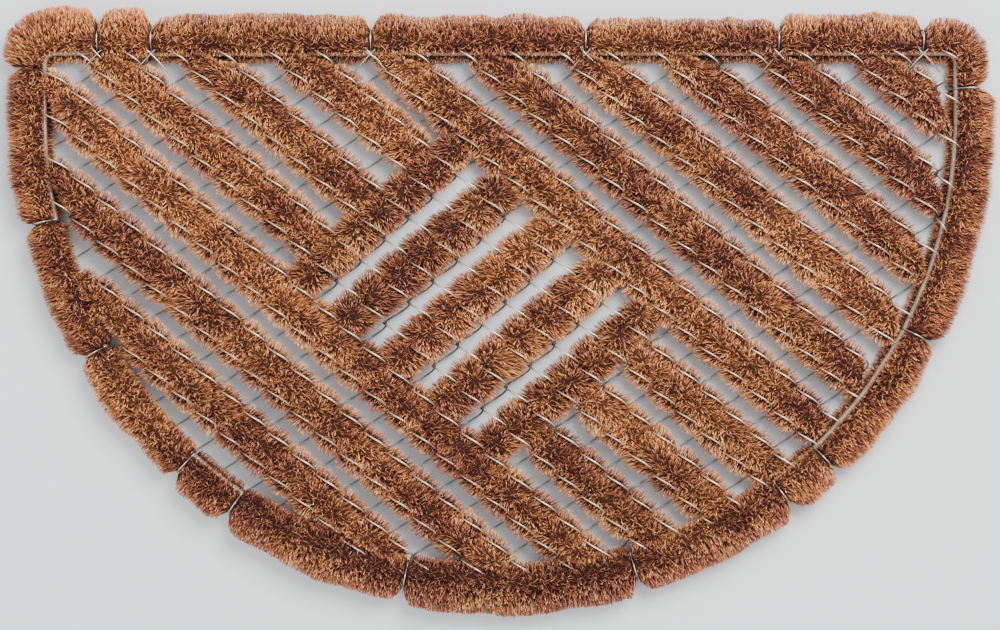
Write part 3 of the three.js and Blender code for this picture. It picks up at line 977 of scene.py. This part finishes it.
def makeRim(index):
    side, at, reach, covered, warm = rim["notches"][index]
    start = notchDistance(side, at) + rim["notchGap"]
    following = rim["notches"][(index + 1) % len(rim["notches"])]
    end = notchDistance(*following[:2]) - rim["notchGap"]
    if end < start:
        end += runWhole
    rings = max(rim["fewestRings"], round((end - start) / rim["step"]))
    distances = np.linspace(start, end, rings)
    frames = [alongRod(distance) for distance in distances]
    across = np.array([out for _, out in frames])
    centres = np.array([spot for spot, _ in frames]) + across * rim["past"]
    centres[:, 2] = rim["height"]
    centres = np.repeat(centres[:, None, :], brush["angles"], axis=1)
    along = np.cross(across, [0, 0, 1.0])
    random = np.random.default_rng(rim["seeds"]["waves"] + index)
    radii = np.repeat(rimReach(reach, covered)[None, :], rings, axis=0)
    knots = np.arange(start, end + rim["waveStep"], rim["waveStep"])
    waves = np.interp(distances, knots, random.normal(0, rim["wave"], len(knots)))
    angle = around(2 * math.pi)
    outer, inner = np.maximum(np.cos(angle), 0), np.maximum(-np.cos(angle), 0)
    upper, lower = np.maximum(np.sin(angle), 0), np.maximum(-np.sin(angle), 0)
    fromStart, fromEnd = distances - start, end - distances
    drawn = np.exp(-((np.minimum(fromStart, fromEnd) / rim["notchWide"]) ** 2))[:, None]
    inwards = rim["innerDrawn"] + (1 - rim["innerDrawn"]) * outer
    radii = radii + waves[:, None] * outer - rim["notchDrawn"] * drawn * inwards
    radii = radii + random.normal(0, rim["rough"], radii.shape)
    leaning = np.exp(-fromStart / rim["leanWide"]) - np.exp(-fromEnd / rim["leanWide"])
    lean = np.repeat(rim["notchLean"] * leaning[:, None], brush["angles"], axis=1)
    share = rim["crowd"]
    crowd = share["all"] + share["upper"] * upper + share["outer"] * outer + share["lower"] * lower
    crowd = crowd + share["under"] * (inner * lower)
    crowd = np.repeat(crowd[None, :], rings, axis=0)
    crowd[[0, -1]] *= share["ends"]
    tone = np.full(rings, warm)
    seed = rim["seeds"]["bristles"] + index
    node = f"rim_{index + 1}"
    piece = brushPiece(node + "_bristles", centres, across, along, radii, lean, crowd, tone, seed, 0.0)
    hold(piece, [node])


for index in range(len(rim["notches"])):
    makeRim(index)
print("rim made")


# Tie wires in the notches
tie = {
    "radius": 0.6 * mm,
    "turn": 3 * mm,
    # in mm: distance past the rod and height over its middle
    "loop": [
        (-3.1, -2.4), (-3.1, 2.4), (1.5, 4.2), (8, 10.5), (14, 10), (17.5, 4),
        (17.5, -7), (14, -12.6), (8, -12.8), (1.5, -4.6),
    ],
    # in mm, the crossed ends at the back run: along the rod, past it and height over its middle
    "cross": [(-6, 8, 9.5), (-3, 2, 7), (5, -6, 6), (13, -15, 3)],
    "crossedApart": 0.4,
    "facets": 8,
    "count": 16,
}


def tiePaths(side, at):  # the loop, and the crossed ends where they show
    spot, out = alongRod(notchDistance(side, at))
    paths = [[spot + out * past * mm + np.array([0, 0, up * mm]) for past, up in tie["loop"]]]
    if side == "back":
        for way in (-1, 1):
            lift = tie["crossedApart"] * way
            paths.append([spot + np.array([way * x, y, z + lift]) * mm for x, y, z in tie["cross"]])
    return paths


for index, (side, at, *_) in enumerate(rim["notches"][: tie["count"]]):
    name = f"tieWire_{index + 1}"
    loop = wirePiece(name, tiePaths(side, at), tie["radius"], tie["turn"], tie["facets"], galvanised)
    hold(loop, [f"tie_{index + 1}"])
print("ties made")


# Floor, light and camera
studio = {
    "floorHalf": 4.0,
    "floorDrop": 0.2 * mm,
    "floorColour": (0.93, 0.95, 0.96, 1),
    "floorRough": 0.7,
    "sky": (0.95, 0.97, 1.0, 1),
    "skyStrength": 1.0,
    # name, place, size and power
    "lights": [("keyLight", (0.6, 0.85, 1.5), 1.0, 42), ("fillLight", (-1.1, -0.6, 1.4), 1.2, 8)],
    "camera": (1.1 * mm, -2.3 * mm, 2.3),
    "sensor": 36,
    "seenWidth": 760 * mm,
    "seenAt": 25 * mm,
}
half = studio["floorHalf"]
corners = [(-half, -half, 0), (half, -half, 0), (half, half, 0), (-half, half, 0)]
floor = newPiece("floor", corners, [], [(0, 1, 2, 3)])
floor.location.z = -studio["floorDrop"]
paleFloor, _, floorShader = newMaterial("paleFloor")
floorShader["Base Color"].default_value = studio["floorColour"]
floorShader["Roughness"].default_value = studio["floorRough"]
floor.data.materials.append(paleFloor)
floor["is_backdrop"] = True

world = bpy.data.worlds.new("studio")
bpy.context.scene.world = world
world.use_nodes = True
sky = world.node_tree.nodes["Background"].inputs
sky["Color"].default_value = studio["sky"]
sky["Strength"].default_value = studio["skyStrength"]

for name, where, size, power in studio["lights"]:
    light = bpy.data.lights.new(name, "AREA")
    light.energy = power
    light.size = size
    lamp = bpy.data.objects.new(name, light)
    bpy.context.scene.collection.objects.link(lamp)
    lamp.location = where
    lamp.rotation_euler = (-Vector(where)).to_track_quat("-Z", "Y").to_euler()

lens = bpy.data.cameras.new("camera")
lens.sensor_width = studio["sensor"]
lens.lens = studio["sensor"] * (studio["camera"][2] - studio["seenAt"]) / studio["seenWidth"]
camera = bpy.data.objects.new("camera", lens)
bpy.context.scene.collection.objects.link(camera)
camera.location = studio["camera"]
bpy.context.scene.camera = camera

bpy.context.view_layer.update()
counts = [sum(len(face.vertices) - 2 for face in piece.data.polygons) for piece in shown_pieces()]
print("triangles in all:", sum(counts), "most in a piece:", max(counts))
